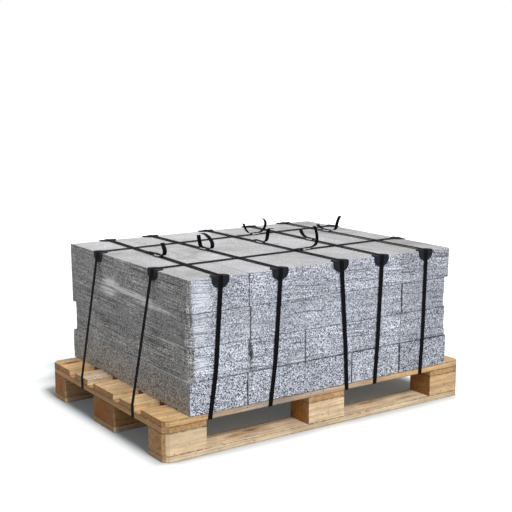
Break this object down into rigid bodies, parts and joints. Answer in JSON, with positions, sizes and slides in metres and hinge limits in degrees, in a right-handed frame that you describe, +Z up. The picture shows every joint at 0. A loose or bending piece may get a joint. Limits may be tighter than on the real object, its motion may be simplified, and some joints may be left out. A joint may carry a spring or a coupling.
{
  "type": "strapped pallet of granite kerbs",
  "caption": "Wooden fork pallet stacked with layers of grey granite kerb stones, bound both ways by black straps with wire buckles over plastic corner protectors.",
  "frame": {"origin": "centre of the pallet's underside, on the floor", "axes": "+X along the pallet's long side, -Y out of the long side with the shorter overhang of stone, +Z up"},
  "size_m": [1.2034, 0.8205, 0.6158],
  "materials": {
    "pallet_wood": "rough sawn",
    "granite": "sawn, speckled grey",
    "strap": "matt, lightly ribbed",
    "corner_protector": "matt moulded",
    "buckle_wire": "galvanised"
  },
  "bodies": {
    "root": {"deck_board_1": "pallet_wood", "deck_board_2": "pallet_wood", "deck_board_3": "pallet_wood", "deck_board_4": "pallet_wood", "deck_board_5": "pallet_wood", "stringer_board_1": "pallet_wood", "stringer_board_2": "pallet_wood", "stringer_board_3": "pallet_wood", "bottom_board_1": "pallet_wood", "bottom_board_2": "pallet_wood", "bottom_board_3": "pallet_wood", "block_1": "pallet_wood", "block_2": "pallet_wood", "block_3": "pallet_wood", "block_4": "pallet_wood", "block_5": "pallet_wood", "block_6": "pallet_wood", "block_7": "pallet_wood", "block_8": "pallet_wood", "block_9": "pallet_wood", "kerb_layer_1": "granite", "kerb_layer_2": "granite", "kerb_layer_3": "granite", "kerb_layer_4": "granite", "strap_cross_1": "strap", "strap_cross_2": "strap", "strap_cross_3": "strap", "strap_cross_4": "strap", "strap_cross_5": "strap", "strap_long_1": "strap", "strap_long_2": "strap", "corner_protector_front_1": "corner_protector", "corner_protector_front_2": "corner_protector", "corner_protector_front_3": "corner_protector", "corner_protector_front_4": "corner_protector", "corner_protector_front_5": "corner_protector", "corner_protector_back_1": "corner_protector", "corner_protector_back_2": "corner_protector", "corner_protector_back_3": "corner_protector", "corner_protector_back_4": "corner_protector", "corner_protector_back_5": "corner_protector", "corner_protector_left_1": "corner_protector", "corner_protector_left_2": "corner_protector", "corner_protector_right_1": "corner_protector", "corner_protector_right_2": "corner_protector", "buckle_cross_1": "buckle_wire", "buckle_cross_2": "buckle_wire", "buckle_cross_3": "buckle_wire", "buckle_cross_4": "buckle_wire", "buckle_cross_5": "buckle_wire", "buckle_long_1": "buckle_wire", "buckle_long_2": "buckle_wire"}
  },
  "joints": []
}
